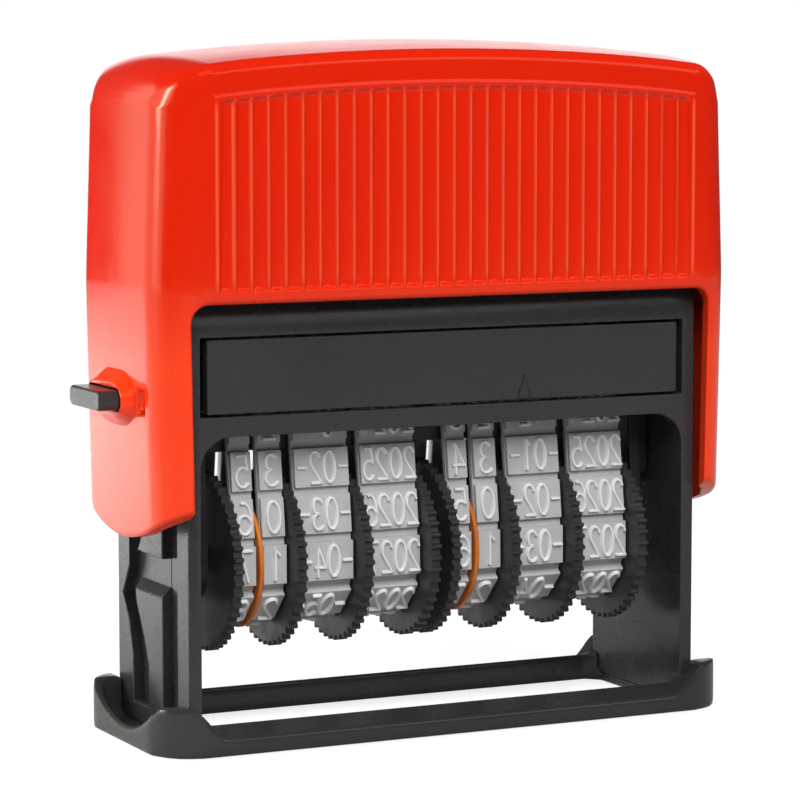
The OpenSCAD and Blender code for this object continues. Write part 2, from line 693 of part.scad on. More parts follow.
// Date wheel: a toothed disc on one side of a drum
// Half widths of a tooth at its foot and its tip, as shares of the pitch
tooth_foot = 0.28;
tooth_tip = 0.14;
module toothed_outline() {
    step = 360 / wheel_teeth;
    inner = wheel_r - tooth_h;
    tooth = [[-tooth_foot, inner], [-tooth_tip, wheel_r], [tooth_tip, wheel_r], [tooth_foot, inner]];
    polygon([for (i = [0:wheel_teeth - 1], p = tooth)
        p[1] * [cos((i + p[0]) * step), sin((i + p[0]) * step)]]);
}
module date_wheel(x, w, disc_first) color([0.09, 0.09, 0.1]) {
    disc_at = disc_first ? x - side_gap - disc_t : x + w + side_gap;
    low = disc_first ? disc_at : x;
    high = disc_first ? x + w : disc_at;
    difference() {
        union() {
            translate([0, 0, shaft_z]) along_x(disc_at, disc_at + disc_t) toothed_outline();
            bar_x(low, high, drum_r, 0, shaft_z);
        }
        bar_x(low - disc_t - over, high + disc_t + over, shaft_r + run_gap, 0, shaft_z);
    }
}

// Band: an endless belt with raised print blocks
module date_band(x, w) color([0.76, 0.76, 0.77]) {
    r = loop_r + band_t;
    k = loop_k + band_t;
    along_x(x, x + w) difference() {
        polygon(loop_outline(r, k));
        polygon(loop_outline(loop_r, loop_k));
    }
    along_x(x + block_inset, x + w - block_inset)
        for (i = [0:block_count - 1]) polygon(block_outline(i * loop_length(r, k) / block_count, r, k));
}

foot();
frame();
cap_shell();
yoke();
return_spring(-spring_x);  // left_return_spring
return_spring(spring_x);  // right_return_spring
lock_button();
cartridge_tray();
ink_pad();
carriage_left_side();
carriage_right_side();
platen_bar();
wheel_shaft();
separator(group_x[0] + separator_x);  // left_separator
separator(group_x[1] + separator_x);  // right_separator
for (g = [0, 1], b = [0:3]) {
    name = str(GROUPS[g], "_", BANDS[b]);
    date_wheel(group_x[g] + band_x[b], widths[b], b == 0);
    date_band(group_x[g] + band_x[b], widths[b]);
}
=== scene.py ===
import math

import bpy
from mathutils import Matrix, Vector


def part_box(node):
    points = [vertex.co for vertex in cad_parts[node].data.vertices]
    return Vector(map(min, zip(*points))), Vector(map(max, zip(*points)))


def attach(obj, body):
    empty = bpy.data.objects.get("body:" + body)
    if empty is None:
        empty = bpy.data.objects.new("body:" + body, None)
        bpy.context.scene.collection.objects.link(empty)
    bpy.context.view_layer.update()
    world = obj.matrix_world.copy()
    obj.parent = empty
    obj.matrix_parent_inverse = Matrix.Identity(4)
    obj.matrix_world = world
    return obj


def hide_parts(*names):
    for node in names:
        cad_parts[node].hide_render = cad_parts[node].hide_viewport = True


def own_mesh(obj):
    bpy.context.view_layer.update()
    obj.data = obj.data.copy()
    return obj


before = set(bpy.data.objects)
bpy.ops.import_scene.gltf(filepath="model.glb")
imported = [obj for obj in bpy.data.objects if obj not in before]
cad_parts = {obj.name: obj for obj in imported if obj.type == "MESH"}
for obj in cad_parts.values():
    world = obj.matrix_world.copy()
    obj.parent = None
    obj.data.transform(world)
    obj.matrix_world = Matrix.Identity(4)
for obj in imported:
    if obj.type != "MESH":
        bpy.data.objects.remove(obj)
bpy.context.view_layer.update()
mm = 0.001
mergeGap = 0.002 * mm  # points this close become one
print("stage: frame loaded with", len(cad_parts), "nodes")


# Small helpers for picking, shaping and finishing a mesh

def takeUp(piece):
    bpy.ops.object.select_all(action="DESELECT")
    piece.select_set(True)
    bpy.context.view_layer.objects.active = piece


def pickEdges(piece, wanted):
    # leaves the piece in edit mode, with the wanted edges selected
    takeUp(piece)
    bpy.ops.object.mode_set(mode="EDIT")
    bpy.context.tool_settings.mesh_select_mode = (False, True, False)
    bpy.ops.mesh.select_all(action="DESELECT")
    bpy.ops.object.mode_set(mode="OBJECT")
    points = piece.data.vertices
    for edge in piece.data.edges:
        edge.select = wanted(points[edge.vertices[0]].co, points[edge.vertices[1]].co)
    bpy.ops.object.mode_set(mode="EDIT")


def pickFaces(piece, wanted):
    # leaves the piece in edit mode, with the wanted faces selected
    takeUp(piece)
    bpy.ops.object.mode_set(mode="EDIT")
    bpy.context.tool_settings.mesh_select_mode = (False, False, True)
    bpy.ops.mesh.select_all(action="DESELECT")
    bpy.ops.object.mode_set(mode="OBJECT")
    for face in piece.data.polygons:
        face.select = wanted(face.center, face.normal)
    bpy.ops.object.mode_set(mode="EDIT")


def pickSharp(piece, angle):
    # leaves the piece in object mode, with its sharp edges selected
    takeUp(piece)
    bpy.ops.object.mode_set(mode="EDIT")
    bpy.context.tool_settings.mesh_select_mode = (False, True, False)
    bpy.ops.mesh.select_all(action="DESELECT")
    bpy.ops.mesh.edges_select_sharp(sharpness=math.radians(angle))
    bpy.ops.object.mode_set(mode="OBJECT")


def mergePoints(piece):
    takeUp(piece)
    bpy.ops.object.mode_set(mode="EDIT")
    bpy.ops.mesh.select_all(action="SELECT")
    bpy.ops.mesh.remove_doubles(threshold=mergeGap)
    bpy.ops.object.mode_set(mode="OBJECT")


def sliceAt(piece, places, direction, near=0.1 * mm):
    takeUp(piece)
    bpy.ops.object.mode_set(mode="EDIT")
    for place in places:
        bpy.ops.mesh.select_all(action="SELECT")
        cut = [place * part for part in direction]
        bpy.ops.mesh.bisect(plane_co=cut, plane_no=direction, threshold=near)
    bpy.ops.object.mode_set(mode="OBJECT")


def useModifier(piece, kind, **settings):
    takeUp(piece)
    step = piece.modifiers.new(kind.lower(), kind)
    for key, value in settings.items():
        setattr(step, key, value)
    bpy.ops.object.modifier_apply(modifier=step.name)


def cutWith(piece, cutter, how="DIFFERENCE"):
    useModifier(piece, "BOOLEAN", operation=how, object=cutter, solver="EXACT")
    bpy.data.objects.remove(cutter)


def addBlock(name, low, high):
    bpy.ops.object.select_all(action="DESELECT")
    middle = [(a + b) / 2 for a, b in zip(low, high)]
    bpy.ops.mesh.primitive_cube_add(size=1, location=middle)
    block = bpy.context.object
    block.name = name
    block.scale = [b - a for a, b in zip(low, high)]
    bpy.ops.object.transform_apply(location=True, rotation=True, scale=True)
    return block


def addRod(name, radius, length, middle, turn=(0, 0, 0), sides=48):
    bpy.ops.object.select_all(action="DESELECT")
    bpy.ops.mesh.primitive_cylinder_add(vertices=sides, radius=radius, depth=length,
                                        location=middle, rotation=turn)
    rod = bpy.context.object
    rod.name = name
    bpy.ops.object.transform_apply(location=True, rotation=True, scale=True)
    return rod


def smoothFinish(piece, angle=32):
    takeUp(piece)
    bpy.ops.object.shade_smooth_by_angle(angle=math.radians(angle))
    useModifier(piece, "WEIGHTED_NORMAL", keep_sharp=True, weight=60)


def settle(piece, name, body, slot, material, *nodes):
    piece.name = name
    piece.data.name = name
    piece.data.materials.clear()
    piece.data.materials.append(material)
    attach(piece, body)
    if nodes:
        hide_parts(*nodes)


def easeIn(value, low, high):
    t = min(max((value - low) / (high - low), 0), 1)
    return t * t * (3 - 2 * t)


# Materials

def startMaterial(name):
    material = bpy.data.materials.new(name)
    material.use_nodes = True
    tree = material.node_tree
    place = tree.nodes.new("ShaderNodeTexCoord").outputs["Object"]
    return material, tree, tree.nodes["Principled BSDF"], place


def addNoise(tree, place, scale, detail=3, stretch=(1, 1, 1)):
    mapping = tree.nodes.new("ShaderNodeMapping")
    mapping.inputs["Scale"].default_value = stretch
    noise = tree.nodes.new("ShaderNodeTexNoise")
    noise.inputs["Scale"].default_value = scale
    noise.inputs["Detail"].default_value = detail
    tree.links.new(place, mapping.inputs["Vector"])
    tree.links.new(mapping.outputs["Vector"], noise.inputs["Vector"])
    return noise.outputs["Fac"]


def spread(tree, source, low, high, fromLow=0.3, fromHigh=0.7, curve="LINEAR"):
    ramp = tree.nodes.new("ShaderNodeMapRange")
    ramp.interpolation_type = curve
    ramp.inputs["From Min"].default_value = fromLow
    ramp.inputs["From Max"].default_value = fromHigh
    ramp.inputs["To Min"].default_value = low
    ramp.inputs["To Max"].default_value = high
    tree.links.new(source, ramp.inputs["Value"])
    return ramp.outputs["Result"]


def feed(tree, value, socket):
    # a number or a colour is set on the socket, and an output is linked to it
    if isinstance(value, tuple):
        socket.default_value = (*value, 1)
    elif isinstance(value, (int, float)):
        socket.default_value = value
    else:
        tree.links.new(value, socket)


def mixColours(tree, source, first, second):
    mix = tree.nodes.new("ShaderNodeMix")
    mix.data_type = "RGBA"
    feed(tree, first, mix.inputs["A"])
    feed(tree, second, mix.inputs["B"])
    tree.links.new(source, mix.inputs["Factor"])
    return mix.outputs["Result"]


def mathStep(tree, operation, first, second):
    step = tree.nodes.new("ShaderNodeMath")
    step.operation = operation
    feed(tree, first, step.inputs[0])
    feed(tree, second, step.inputs[1])
    return step.outputs["Value"]


def splitPlace(tree, place):
    parts = tree.nodes.new("ShaderNodeSeparateXYZ")
    tree.links.new(place, parts.inputs["Vector"])
    return parts.outputs


def addBump(tree, shader, source, strength, depth):
    bump = tree.nodes.new("ShaderNodeBump")
    bump.inputs["Strength"].default_value = strength
    bump.inputs["Distance"].default_value = depth
    tree.links.new(source, bump.inputs["Height"])
    tree.links.new(bump.outputs["Normal"], shader.inputs["Normal"])


def paintedCrestHighlights(tree, place, under, look):
    # painted highlight: the crests of the grip's beads are painted paler, standing in for the fine lines of
    # light they catch
    parts = splitPlace(tree, place)
    turn = mathStep(tree, "MULTIPLY", parts["X"], 1 / look["crestPitch"])
    # 0 on a crest and 0.5 in the middle of a hollow
    beside = mathStep(tree, "PINGPONG", mathStep(tree, "SUBTRACT", turn, 0.5), 0.5)
    highlightShare = spread(tree, beside, 1, 0, 0, look["crestWidth"] / look["crestPitch"])
    low, high = look["crestBetween"]
    above = spread(tree, parts["Z"], 0, 1, low, low + look["crestFootFade"])
    crown = mathStep(tree, "MULTIPLY", mathStep(tree, "POWER", parts["X"], 2), look["crestCrown"])
    raised = mathStep(tree, "ADD", parts["Z"], crown)
    below = spread(tree, raised, 1, 0, high - look["crestTopFade"], high)
    inside = mathStep(tree, "LESS_THAN", mathStep(tree, "ABSOLUTE", parts["X"], 0), look["crestReach"])
    for mask in (above, below, inside):
        highlightShare = mathStep(tree, "MULTIPLY", highlightShare, mask)
    return mixColours(tree, highlightShare, under, look["crest"])


plastic = {"ior": 1.49, "grainDepth": 0.2 * mm}  # shared by every moulded piece


def mouldedPlastic(name, look):
    material, tree, shader, place = startMaterial(name)
    cloud = spread(tree, addNoise(tree, place, look["cloudScale"], detail=2), 0, 1)
    colour = mixColours(tree, cloud, look["colour"], look["shade"])
    if "paintedGlow" in look:
        # painted glow: below a height the colour is painted lighter and more orange, standing in for light
        # that comes through where the wall has little thickness
        lower = spread(tree, splitPlace(tree, place)["Z"], 1, 0, *look["paintedGlowBetween"])
        colour = mixColours(tree, lower, colour, look["paintedGlow"])
    if "crest" in look:
        # painted highlights along the crests of the grip's beads
        colour = paintedCrestHighlights(tree, place, colour, look)
    tree.links.new(colour, shader.inputs["Base Color"])
    haze = addNoise(tree, place, look["hazeScale"], detail=4)
    tree.links.new(spread(tree, haze, *look["roughness"]), shader.inputs["Roughness"])
    grain = addNoise(tree, place, look["grainScale"], detail=2)
    addBump(tree, shader, grain, look["grain"], plastic["grainDepth"])
    shader.inputs["IOR"].default_value = plastic["ior"]
    if "tint" in look:
        shader.inputs["Specular Tint"].default_value = (*look["tint"], 1)
    return material


redLook = {
    "colour": (0.69, 0.0150, 0.0016), "shade": (0.66, 0.0135, 0.0014), "cloudScale": 30,
    # the second colour on the next line is a painted glow for the lower cap, standing in for light through
    # its walls, faded in between two heights
    "tint": (1, 0.85, 0.62), "paintedGlow": (0.86, 0.042, 0.006), "paintedGlowBetween": (48 * mm, 59 * mm),
    # the crest colour on the next line is a painted highlight for the grip's bead crests, placed by the
    # crest settings that follow
    "crest": (0.86, 0.10, 0.042), "crestPitch": 2.28 * mm, "crestWidth": 0.30 * mm,
    "crestBetween": (56.6 * mm, 81.6 * mm), "crestFootFade": 2 * mm, "crestTopFade": 1.2 * mm,
    "crestReach": 33.6 * mm, "crestCrown": 1.548,  # half the roof's curvature, per metre
    "roughness": (0.13, 0.19), "hazeScale": 220, "grain": 0.04, "grainScale": 900,
}
blackLook = {
    "colour": (0.030, 0.030, 0.031), "shade": (0.024, 0.024, 0.025), "cloudScale": 40,
    "roughness": (0.22, 0.31), "hazeScale": 260, "grain": 0.06, "grainScale": 1600,
}
innerLook = {
    "colour": (0.016, 0.016, 0.017), "shade": (0.012, 0.012, 0.013), "cloudScale": 50,
    "roughness": (0.34, 0.46), "hazeScale": 240, "grain": 0.1, "grainScale": 1400,
}
wheelLook = {
    "colour": (0.029, 0.029, 0.030), "shade": (0.021, 0.021, 0.022), "cloudScale": 90,
    "roughness": (0.36, 0.50), "hazeScale": 400, "grain": 0.12, "grainScale": 1800,
}
rubberLook = {
    "colour": (0.44, 0.44, 0.445), "shade": (0.38, 0.38, 0.385), "cloudScale": 260,
    "roughness": (0.50, 0.64), "hazeScale": 500, "grain": 0.12, "grainScale": 2200,
}
figureLook = {
    "colour": (0.74, 0.74, 0.745), "shade": (0.66, 0.66, 0.665), "cloudScale": 300,
    "roughness": (0.48, 0.60), "hazeScale": 500, "grain": 0.10, "grainScale": 2200,
}
orangeLook = {
    "colour": (0.60, 0.17, 0.014), "shade": (0.44, 0.11, 0.010), "cloudScale": 200,
    "roughness": (0.38, 0.50), "hazeScale": 300, "grain": 0.10, "grainScale": 1500,
}
redPlastic = mouldedPlastic("cap_red_plastic", redLook)
blackPlastic = mouldedPlastic("body_black_plastic", blackLook)
innerPlastic = mouldedPlastic("inner_black_plastic", innerLook)
wheelPlastic = mouldedPlastic("wheel_black_plastic", wheelLook)
bandRubber = mouldedPlastic("band_grey_rubber", rubberLook)
figureRubber = mouldedPlastic("figure_pale_rubber", figureLook)
orangePlastic = mouldedPlastic("separator_orange_plastic", orangeLook)

steelLook = {
    "bright": (0.62, 0.62, 0.64), "dull": (0.50, 0.50, 0.52), "drawnScale": 300, "drawnStretch": (1, 1, 4),
    "roughness": (0.22, 0.36),
}
feltLook = {
    "dark": (0.012, 0.012, 0.020), "pale": (0.030, 0.030, 0.045), "fibreScale": 1500,
    "fibreStretch": (1, 1.6, 1), "roughness": (0.75, 0.95), "sheen": 0.3, "nap": 0.6, "napDepth": 0.6 * mm,
}


def springSteel():
    material, tree, shader, place = startMaterial("spring_steel")
    shader.inputs["Metallic"].default_value = 1
    drawn = addNoise(tree, place, steelLook["drawnScale"], stretch=steelLook["drawnStretch"])
    colour = mixColours(tree, drawn, steelLook["bright"], steelLook["dull"])
    tree.links.new(colour, shader.inputs["Base Color"])
    tree.links.new(spread(tree, drawn, *steelLook["roughness"]), shader.inputs["Roughness"])
    return material


def inkFelt():
    material, tree, shader, place = startMaterial("ink_felt")
    fibres = addNoise(tree, place, feltLook["fibreScale"], detail=6, stretch=feltLook["fibreStretch"])
    colour = mixColours(tree, fibres, feltLook["dark"], feltLook["pale"])
    tree.links.new(colour, shader.inputs["Base Color"])
    tree.links.new(spread(tree, fibres, *feltLook["roughness"]), shader.inputs["Roughness"])
    shader.inputs["Sheen Weight"].default_value = feltLook["sheen"]
    addBump(tree, shader, fibres, feltLook["nap"], feltLook["napDepth"])
    return material


steel = springSteel()
felt = inkFelt()
print("stage: materials made")


# Cap: one crowned shell with ribbed front and back, two tongues and a collar for the lock button

capLow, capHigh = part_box("cap_shell")
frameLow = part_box("frame")[0]
lockLow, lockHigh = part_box("lock_button")
cap = {
    "halfX": capHigh.x, "halfY": capHigh.y, "top": capHigh.z, "foot": capLow.z, "wall": 1.8 * mm,
    "cornerR": 6 * mm, "shoulderR": 5.5 * mm, "browR": 3 * mm, "roundSteps": 10,
    "skirt": 55.3 * mm, "openingX": 36.575 * mm, "openingR": 2.3 * mm, "openingSteps": 8,
    "tongueR": 26 * mm, "tongueSides": 192, "tongueReach": 6 * mm,
    "rimR": 0.55 * mm, "rimSteps": 3, "rimAngle": 38, "rimRoom": 0.1 * mm, "rimAbove": 0.05 * mm,
    "creaseZ": 57.4 * mm, "creaseR": 0.5 * mm, "creaseRows": (-3, -2, 1, 2, 3),
    "crownR": 323 * mm, "camber": 1.4 * mm, "endCrown": 0.6 * mm, "taperFrom": 26 * mm,
    "tongueTaper": 0.6 * mm, "shoulderTaper": 0.8 * mm, "skirtDraft": 0.14 * mm,
    "rowsUp": (34.5 * mm, 37.5 * mm, 52.5 * mm, 66 * mm, 74 * mm),
    "rowsAcross": (1.5 * mm, 4.5 * mm, 7.6 * mm, 9.7 * mm, 11.7 * mm, 13.5 * mm), "smooth": 34,
}
brow = {
    "edgeR": 1.3 * mm, "outside": 0.3 * mm, "inside": 1.2 * mm, "fade": 0.3 * mm,
    "endFrom": 4.5 * mm, "endTo": 1 * mm,
}
ribs = {
    "pairs": 15, "pitch": 2.28 * mm, "depth": 0.44 * mm, "bead": 0.55, "beadWidth": 0.17, "stepsPerRib": 24,
    "proud": 0.12 * mm, "foot": 56.6 * mm, "top": 83.8 * mm, "footFade": 0.8 * mm, "topFade": 1.6 * mm,
    "band": 0.7 * mm, "fadeSteps": 8, "tiny": 0.02 * mm, "sliceGap": 0.0001 * mm,
}
collar = {
    "z": (lockLow.z + lockHigh.z) / 2, "faceX": -cap["halfX"], "out": 1.7 * mm, "halfZ": 4.3 * mm,
    "halfY": 6.2 * mm, "footR": 4.2 * mm, "footSteps": 14, "topZ": 2.1 * mm, "topY": 5.85 * mm,
    "rimR": 0.16 * mm, "rimFrom": 0.4 * mm, "rimReach": 4 * mm, "clearZ": 5 * mm, "clearY": 9.5 * mm,
    "rowsBeside": (1.5 * mm, 3 * mm, 5 * mm, 7 * mm), "seatRoom": 1.8 * mm, "seatGap": 0.25 * mm,
    "holeGap": 0.15 * mm, "holeR": 1.05 * mm, "holeSteps": 4, "barWidth": 10.2 * mm, "barHeight": 2.5 * mm,
    "notchWidth": 1.9 * mm, "notchHeight": 2.6 * mm, "notchDepth": 0.6 * mm, "notchWall": 0.4 * mm,
}
boss = {"x": 10 * mm, "radius": 3 * mm, "stakeR": 1.5 * mm, "stakeLength": 3 * mm, "stakeDrop": 0.6 * mm}
over = 1 * mm  # how far a cutting shape runs past what it cuts


def capBlank():
    blank = addBlock("capBlank", (-cap["halfX"], -cap["halfY"], cap["foot"]),
                     (cap["halfX"], cap["halfY"], cap["top"]))
    weights = blank.data.attributes.new("bevel_weight_edge", "FLOAT", "EDGE")
    for edge in blank.data.edges:
        a, b = (blank.data.vertices[i].co for i in edge.vertices)
        if abs(a.z - b.z) > over:
            radius = cap["cornerR"]
        elif a.z < cap["skirt"]:
            radius = 0
        else:
            radius = cap["browR"] if abs(a.x - b.x) > over else cap["shoulderR"]
        weights.data[edge.index].value = radius / cap["cornerR"]
    useModifier(blank, "BEVEL", width=cap["cornerR"], segments=cap["roundSteps"], limit_method="WEIGHT")
    pickFaces(blank, lambda middle, normal: normal.z < -0.9)  # the cap is open underneath
    bpy.ops.mesh.delete(type="FACE")
    bpy.ops.object.mode_set(mode="OBJECT")
    useModifier(blank, "SOLIDIFY", thickness=cap["wall"], offset=-1, use_even_offset=True)
    return blank


def openingCutter():
    cutter = addBlock("openingCutter", (-cap["openingX"], -cap["halfY"] - over, cap["foot"] - over),
                      (cap["openingX"], cap["halfY"] + over, cap["skirt"]))
    pickEdges(cutter, lambda a, b: abs(a.y - b.y) > over and a.z > cap["foot"])
    bpy.ops.mesh.bevel(offset=cap["openingR"], segments=cap["openingSteps"], affect="EDGES")
    bpy.ops.object.mode_set(mode="OBJECT")
    return cutter


def tongueCutter():
    wide = cap["halfX"] + over
    cutter = addBlock("tongueCutter", (-wide, -cap["halfY"] - over, cap["foot"] - over),
                      (wide, cap["halfY"] + over, cap["skirt"] - cap["tongueReach"]))
    middle = (0, 0, cap["foot"] + cap["tongueR"])
    lying = (0, math.pi / 2, 0)
    drum = addRod("tongueRound", cap["tongueR"], 2 * wide + over, middle, lying, cap["tongueSides"])
    cutWith(cutter, drum)
    return cutter


def collarBlock():
    # a rounded block, drawn in towards its outer end
    foot = collar["faceX"] + over
    top = collar["faceX"] - collar["out"]
    piece = addBlock("collarBlock", (top, -collar["halfY"], -collar["halfZ"]),
                     (foot, collar["halfY"], collar["halfZ"]))
    pickEdges(piece, lambda a, b: abs(a.x - b.x) > over)
    bpy.ops.mesh.bevel(offset=collar["footR"], segments=collar["footSteps"], affect="EDGES")
    bpy.ops.object.mode_set(mode="OBJECT")
    for point in piece.data.vertices:
        if point.co.x < collar["faceX"]:
            point.co.y *= collar["topY"] / collar["halfY"]
            point.co.z *= collar["topZ"] / collar["halfZ"]
        point.co.z += collar["z"]
    return piece


def lockHoleCutter():
    halfY = collar["barWidth"] / 2 + collar["holeGap"]
    halfZ = collar["barHeight"] / 2 + collar["holeGap"]
    cutter = addBlock("lockHole", (collar["faceX"] - collar["out"] - over, -halfY, collar["z"] - halfZ),
                      (frameLow.x, halfY, collar["z"] + halfZ))
    pickEdges(cutter, lambda a, b: abs(a.x - b.x) > over)
    bpy.ops.mesh.bevel(offset=collar["holeR"], segments=collar["holeSteps"], affect="EDGES")
    bpy.ops.object.mode_set(mode="OBJECT")
    return cutter


def collarNotch():
    end = -collar["halfY"] - collar["notchWall"]
    low = (-cap["halfX"] - over, end - collar["notchWidth"], collar["z"] - collar["notchHeight"] / 2)
    high = (collar["faceX"] + collar["notchDepth"], end, collar["z"] + collar["notchHeight"] / 2)
    return addBlock("notchCutter", low, high)


def lockSeat():
    reachY = collar["halfY"] + collar["seatRoom"]
    reachZ = collar["halfZ"] + collar["seatRoom"]
    inner = frameLow.x - collar["seatRoom"] - collar["seatGap"]
    return addBlock("lockSeat", (collar["faceX"] + cap["wall"] / 2, -reachY, collar["z"] - reachZ),
                    (inner, reachY, collar["z"] + reachZ))


def roofBoss(x):
    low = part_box("yoke")[1].z
    high = cap["top"] - cap["wall"] / 2
    post = addRod("roofBoss", boss["radius"], high - low, (x, 0, (high + low) / 2))
    stake = addRod("roofStake", boss["stakeR"], boss["stakeLength"], (x, 0, low - boss["stakeDrop"]))
    cutWith(post, stake, "UNION")
    return post


def softPast(value, limit, softness):
    # how far value is past limit, with a rounded start
    past = value - limit
    return (past + math.hypot(past, softness)) / 2


def underSkin(point):
    # how far a point lies inside the cap's outer walls
    pastX = abs(point.x) - cap["halfX"] + cap["cornerR"]
    pastY = abs(point.y) - cap["halfY"] + cap["cornerR"]
    if pastX > 0 and pastY > 0:
        return cap["cornerR"] - math.hypot(pastX, pastY)
    return cap["cornerR"] - max(pastX, pastY)


def awayFromCollar(point):
    return (abs(point.z - collar["z"]) > collar["clearZ"] or abs(point.y) > collar["clearY"]
            or point.x > 0)


def onSkirtRim(point):
    low = point.z < cap["skirt"] + cap["rimAbove"]
    return low and abs(underSkin(point)) < cap["rimRoom"] and awayFromCollar(point)


def onCollarRim(point):
    outside = point.x < collar["faceX"] - collar["rimFrom"]
    return outside and abs(point.z - collar["z"]) < collar["rimReach"]


def roundRims(shell):
    mergePoints(shell)
    for radius, belongs in ((cap["rimR"], onSkirtRim), (collar["rimR"], onCollarRim)):
        pickSharp(shell, cap["rimAngle"])
        points = shell.data.vertices
        for edge in shell.data.edges:
            edge.select = edge.select and all(belongs(points[i].co) for i in edge.vertices)
        bpy.ops.object.mode_set(mode="EDIT")
        bpy.ops.mesh.bevel(offset=radius, segments=cap["rimSteps"], affect="EDGES")
        bpy.ops.object.mode_set(mode="OBJECT")


def fluteAt(turns):
    # depth of the hollow between two thin beads, 0 on a bead and 1 in the middle of a hollow
    away = 1 - 2 * abs(turns - round(turns))
    hollow = 1 - (1 - away) ** 2
    beside = 1 - math.exp(-(away / ribs["beadWidth"]) ** 2)
    return (1 - ribs["bead"]) * hollow + ribs["bead"] * beside


def ribGrid(shell):
    # columns two ribs wide that the crown bends, and rows where the ribs and the tapers begin and end
    half = ribs["pairs"] * ribs["pitch"]
    columns = [-half + 2 * ribs["pitch"] * i for i in range(ribs["pairs"] + 1)]
    sliceAt(shell, columns, (1, 0, 0), ribs["sliceGap"])
    steps = ribs["fadeSteps"]
    rows = [ribs["foot"] + ribs["footFade"] * i / steps for i in range(steps + 1)]
    rows += [ribs["top"] - ribs["topFade"] * i / steps for i in range(steps + 1)]
    rows += [cap["creaseZ"] + cap["creaseR"] * i for i in cap["creaseRows"]]
    rows += cap["rowsUp"]
    rows += [collar["z"] + side * z for z in collar["rowsBeside"] for side in (-1, 1)]
    sliceAt(shell, rows, (0, 0, 1), ribs["sliceGap"])
    across = [side * y for y in cap["rowsAcross"] for side in (-1, 1)]
    sliceAt(shell, across, (0, 1, 0), ribs["sliceGap"])
    tiny = ribs["tiny"]

    def inPanel(point):
        onFace = abs(abs(point.y) - cap["halfY"]) < tiny
        between = ribs["foot"] - tiny < point.z < ribs["top"] + tiny
        return onFace and between and abs(point.x) < half + tiny

    def runsAcross(a, b):
        return inPanel(a) and inPanel(b) and abs(a.z - b.z) < tiny and abs(a.x - b.x) > tiny

    pickEdges(shell, runsAcross)
    bpy.ops.mesh.subdivide(number_cuts=2 * ribs["stepsPerRib"] - 1)
    bpy.ops.object.mode_set(mode="OBJECT")
    for point in shell.data.vertices:
        if inPanel(point.co):
            side = math.copysign(1, point.co.y)
            x = point.co.x
            z = point.co.z
            groove = fluteAt(x / ribs["pitch"]) if abs(x) < half - ribs["pitch"] / 2 else 0
            foot = easeIn(z, ribs["foot"], ribs["foot"] + ribs["footFade"])
            flute = foot * (1 - easeIn(z, ribs["top"] - ribs["topFade"], ribs["top"] - ribs["band"]))
            panel = foot * (1 - easeIn(z, ribs["top"] - ribs["band"], ribs["top"]))
            point.co.y += side * (ribs["proud"] * panel - ribs["depth"] * groove * flute)


def roundingAt(x, radius):
    # how far a rounding of the cap's ends has fallen back at x
    past = min(max(abs(x) - cap["halfX"] + radius, 0), radius)
    return radius - math.sqrt(radius ** 2 - past ** 2)


def sharpenBrow(shell):
    # the brow's rounding is drawn out towards its edge, less and less round the corners
    for point in shell.data.vertices:
        x, y, z = point.co
        front = cap["halfY"] - roundingAt(x, cap["cornerR"])
        roof = cap["top"] - roundingAt(x, cap["shoulderR"])
        inY = front - abs(y)
        inZ = roof - z
        if not -brow["outside"] < min(inY, inZ) < brow["inside"]:
            continue
        size = brow["edgeR"] / cap["browR"]
        size += (1 - size) * easeIn(max(inY, inZ), cap["browR"], cap["browR"] + brow["fade"])
        size += (1 - size) * easeIn(abs(x), cap["halfX"] - brow["endFrom"], cap["halfX"] - brow["endTo"])
        point.co.y = math.copysign(front - inY * size, y)
        point.co.z = roof - inZ * size


def bendShell(shell):
    # the crown over the roof, the tapers of both ends and the draft under the ribs
    crease = cap["creaseZ"]
    for point in shell.data.vertices:
        x, y, z = point.co
        bow = (y / cap["halfY"]) ** 2
        drop = x * x / (2 * cap["crownR"]) + cap["camber"] * bow
        point.co.z -= drop * easeIn(z, ribs["foot"], ribs["top"])
        below = softPast(crease, z, cap["creaseR"]) / (crease - cap["foot"])
        above = softPast(min(z, ribs["top"]), crease, cap["creaseR"]) / (ribs["top"] - crease)
        inward = cap["tongueTaper"] * below + cap["shoulderTaper"] * above + cap["endCrown"] * bow
        point.co.x -= math.copysign(inward, x) * easeIn(abs(x), cap["taperFrom"], cap["halfX"])
        if abs(y) > cap["halfY"] - cap["wall"] / 2 and z < ribs["foot"]:
            share = min((ribs["foot"] - z) / (ribs["foot"] - cap["skirt"]), 1)
            point.co.y -= math.copysign(cap["skirtDraft"], y) * share


def makeCap():
    shell = capBlank()
    for extra in (lockSeat(), collarBlock(), roofBoss(-boss["x"]), roofBoss(boss["x"])):
        cutWith(shell, extra, "UNION")
    for cutter in (openingCutter(), tongueCutter(), collarNotch(), lockHoleCutter()):
        cutWith(shell, cutter)
    roundRims(shell)
    ribGrid(shell)
    sharpenBrow(shell)
    bendShell(shell)
    smoothFinish(shell, cap["smooth"])
    settle(shell, "cap_moulding", "cap", "cap_red", redPlastic, "cap_shell")


makeCap()
print("stage: cap made")


# Frame, lock, cartridge and carriage: the construction's own shapes with their edges rounded

